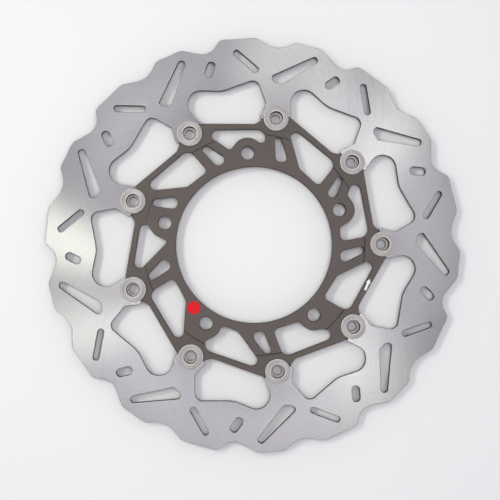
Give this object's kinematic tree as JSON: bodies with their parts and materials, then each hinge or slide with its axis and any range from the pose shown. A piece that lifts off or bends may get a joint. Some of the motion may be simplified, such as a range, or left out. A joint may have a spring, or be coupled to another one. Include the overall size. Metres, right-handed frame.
{
  "type": "motorcycle brake disc rotor",
  "caption": "Floating brake disc rotor: a wave-edged slotted braking ring hung on a slim windowed carrier by spring-loaded bobbins around it.",
  "frame": {"origin": "on the wheel's axis, half way through the braking ring's thickness", "axes": "+Z along the wheel's axis, out of the side that faces away from the wheel; +X towards bobbin_1"},
  "size_m": [0.3199, 0.32, 0.0111],
  "materials": {
    "ground_stainless": "brushed",
    "anodised_carrier": "satin",
    "bobbin_metal": "turned",
    "spring_steel": "satin",
    "red_vinyl": "gloss"
  },
  "bodies": {
    "carrier": {"carrier": "anodised_carrier", "round_sticker": "red_vinyl"},
    "ring": {"braking_ring": "ground_stainless"},
    "bobbin_1": {"bobbin_1": "bobbin_metal", "wave_spring_1": "spring_steel", "back_washer_1": "spring_steel", "retaining_ring_1": "spring_steel"},
    "bobbin_2": {"bobbin_2": "bobbin_metal", "wave_spring_2": "spring_steel", "back_washer_2": "spring_steel", "retaining_ring_2": "spring_steel"},
    "bobbin_3": {"bobbin_3": "bobbin_metal", "wave_spring_3": "spring_steel", "back_washer_3": "spring_steel", "retaining_ring_3": "spring_steel"},
    "bobbin_4": {"bobbin_4": "bobbin_metal", "wave_spring_4": "spring_steel", "back_washer_4": "spring_steel", "retaining_ring_4": "spring_steel"},
    "bobbin_5": {"bobbin_5": "bobbin_metal", "wave_spring_5": "spring_steel", "back_washer_5": "spring_steel", "retaining_ring_5": "spring_steel"},
    "bobbin_6": {"bobbin_6": "bobbin_metal", "wave_spring_6": "spring_steel", "back_washer_6": "spring_steel", "retaining_ring_6": "spring_steel"},
    "bobbin_7": {"bobbin_7": "bobbin_metal", "wave_spring_7": "spring_steel", "back_washer_7": "spring_steel", "retaining_ring_7": "spring_steel"},
    "bobbin_8": {"bobbin_8": "bobbin_metal", "wave_spring_8": "spring_steel", "back_washer_8": "spring_steel", "retaining_ring_8": "spring_steel"},
    "bobbin_9": {"bobbin_9": "bobbin_metal", "wave_spring_9": "spring_steel", "back_washer_9": "spring_steel", "retaining_ring_9": "spring_steel"}
  },
  "joints": [
    {"name": "ring_float", "type": "slide", "parent": "carrier", "child": "ring", "axis": [0, 0, 1], "range_m": [-0.0002, 0.0002]},
    {"name": "bobbin_1_spin", "type": "hinge", "parent": "carrier", "child": "bobbin_1", "pos_m": [0.0993, 0.00052, 0], "axis": [0, 0, 1], "continuous": true},
    {"name": "bobbin_2_spin", "type": "hinge", "parent": "carrier", "child": "bobbin_2", "pos_m": [0.07573, 0.06423, 0], "axis": [0, 0, 1], "continuous": true},
    {"name": "bobbin_3_spin", "type": "hinge", "parent": "carrier", "child": "bobbin_3", "pos_m": [0.01673, 0.09788, 0], "axis": [0, 0, 1], "continuous": true},
    {"name": "bobbin_4_spin", "type": "hinge", "parent": "carrier", "child": "bobbin_4", "pos_m": [-0.0501, 0.08574, 0], "axis": [0, 0, 1], "continuous": true},
    {"name": "bobbin_5_spin", "type": "hinge", "parent": "carrier", "child": "bobbin_5", "pos_m": [-0.09349, 0.03347, 0], "axis": [0, 0, 1], "continuous": true},
    {"name": "bobbin_6_spin", "type": "hinge", "parent": "carrier", "child": "bobbin_6", "pos_m": [-0.09313, -0.03445, 0], "axis": [0, 0, 1], "continuous": true},
    {"name": "bobbin_7_spin", "type": "hinge", "parent": "carrier", "child": "bobbin_7", "pos_m": [-0.0492, -0.08625, 0], "axis": [0, 0, 1], "continuous": true},
    {"name": "bobbin_8_spin", "type": "hinge", "parent": "carrier", "child": "bobbin_8", "pos_m": [0.01775, -0.0977, 0], "axis": [0, 0, 1], "continuous": true},
    {"name": "bobbin_9_spin", "type": "hinge", "parent": "carrier", "child": "bobbin_9", "pos_m": [0.0764, -0.06343, 0], "axis": [0, 0, 1], "continuous": true}
  ]
}
